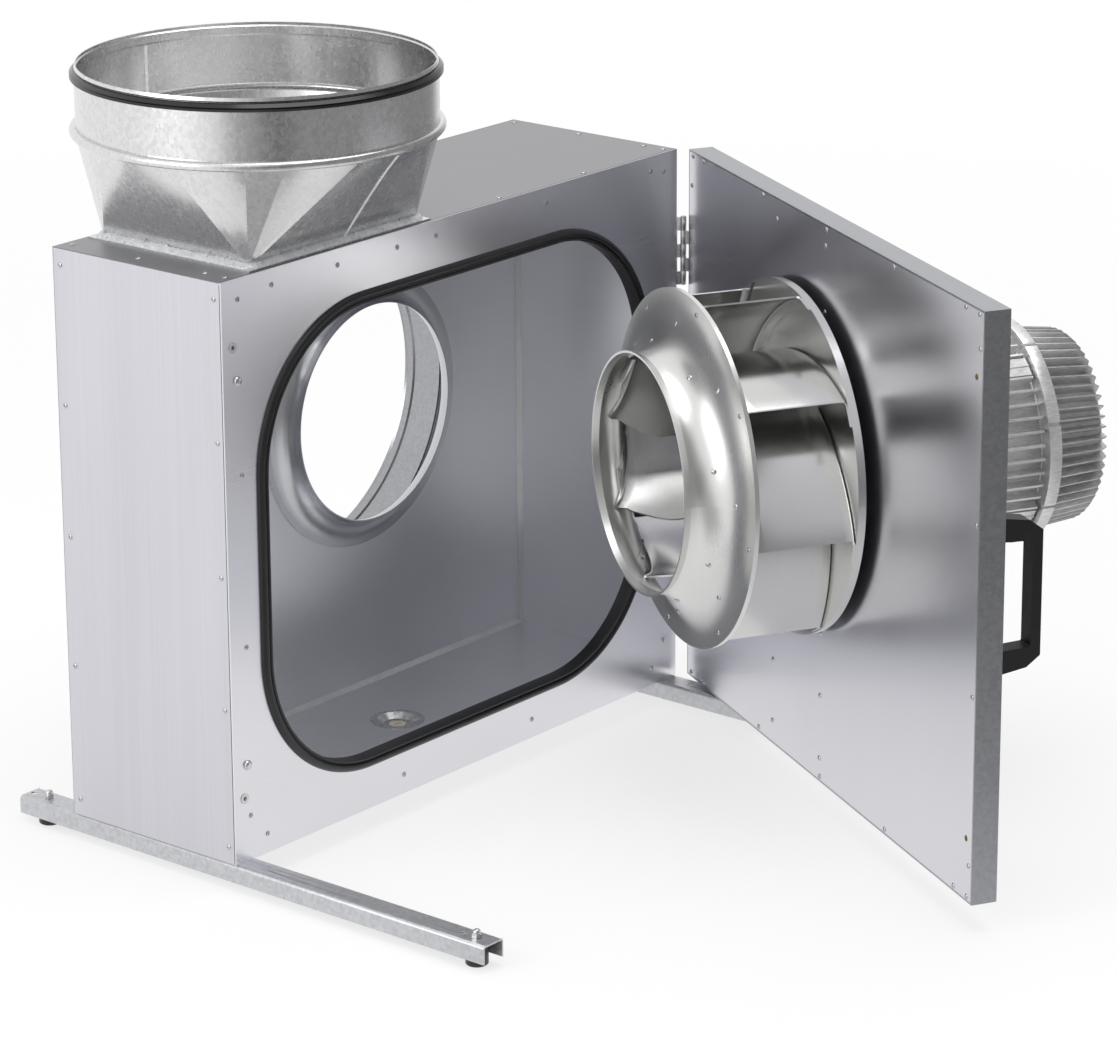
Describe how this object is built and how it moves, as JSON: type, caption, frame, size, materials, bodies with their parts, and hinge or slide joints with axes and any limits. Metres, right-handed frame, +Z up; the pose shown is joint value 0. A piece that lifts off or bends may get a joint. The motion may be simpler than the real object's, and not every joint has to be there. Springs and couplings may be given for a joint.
{
  "type": "industrial fan",
  "caption": "Insulated box fan with a swing-out door that carries the motor and a backward-curved centrifugal impeller, with round duct spigots and a rail stand.",
  "frame": {"origin": "on the floor, under the middle of the housing", "axes": "+X along the housing towards the hinge side, +Y through the housing towards the inlet spigot, +Z up"},
  "size_m": [0.9842, 1.0559, 0.8811],
  "materials": {
    "galvanised": "galvanised sheet, satin",
    "liner": "coated sheet, semi-gloss",
    "zinc": "zinc-plated, satin",
    "steel": "ground",
    "lamination": "stacked laminations, dull",
    "iron": "machined cast iron",
    "aluminium_bright": "bright",
    "aluminium_cast": "die-cast, satin",
    "aluminium_sheet": "mill finish, satin",
    "black_rubber": "matte",
    "black_plastic": "matte",
    "beige_plastic": "matte",
    "sealant": "grey sealant, satin",
    "mineral_wool": "mineral wool board",
    "copper": "enamelled winding"
  },
  "bodies": {
    "housing": {"rail_left": "galvanised", "rail_right": "galvanised", "rubber_feet": "black_rubber", "foot_studs": "zinc", "dome_nuts": "zinc", "casing_wrap": "galvanised", "casing_roof": "galvanised", "casing_back": "galvanised", "front_frame": "galvanised", "threaded_inserts": "zinc", "door_bumps": "zinc", "door_seal": "black_rubber", "liner_wrap": "liner", "liner_back": "liner", "insulation_boards": "mineral_wool", "corner_sealant": "sealant", "inlet_nozzle": "galvanised", "inlet_spigot": "galvanised", "inlet_duct_seal": "black_rubber", "outlet_transition": "galvanised", "outlet_sealant": "sealant", "outlet_spigot": "galvanised", "outlet_duct_seal": "black_rubber", "drain_fitting": "galvanised", "drain_plug": "beige_plastic", "housing_rivets": "aluminium_bright", "hinge_frame_leaves": "zinc", "hinge_pins": "zinc", "hinge_frame_screws": "zinc"},
    "door": {"hinge_door_leaves": "zinc", "hinge_door_screws": "zinc", "door_outer_tray": "galvanised", "door_inner_skin": "liner", "motor_stiffeners": "galvanised", "door_insulation": "mineral_wool", "door_rivets": "aluminium_bright", "handle": "black_plastic", "handle_screws": "zinc", "motor_front_shield": "aluminium_cast", "motor_bolts": "zinc", "stator_housing": "aluminium_cast", "motor_rear_shield": "aluminium_cast", "motor_end_cap": "aluminium_cast", "motor_cap_screws": "zinc", "cable_gland": "black_plastic", "front_bearing": "steel", "rear_bearing": "steel", "stator_core": "lamination", "stator_windings": "copper", "shaft_seal": "black_rubber"},
    "rotor": {"motor_shaft": "steel", "rotor_core": "lamination", "shaft_key": "steel", "impeller_hub": "iron", "hub_bolts": "zinc", "shaft_end_bolt": "zinc", "impeller_back_plate": "aluminium_sheet", "impeller_cover_plate": "aluminium_sheet", "impeller_blades": "aluminium_sheet", "impeller_rivets": "aluminium_bright"}
  },
  "joints": [
    {"name": "door_swing", "type": "hinge", "parent": "housing", "child": "door", "pos_m": [0.3985, -0.1295, 0.03], "axis": [0, 0, 1], "range_deg": [-60.5, 17.5]},
    {"name": "impeller_spin", "type": "hinge", "parent": "door", "child": "rotor", "pos_m": [0.23924, -0.41912, 0.4056], "axis": [0.8704, -0.4924, 0], "continuous": true}
  ]
}
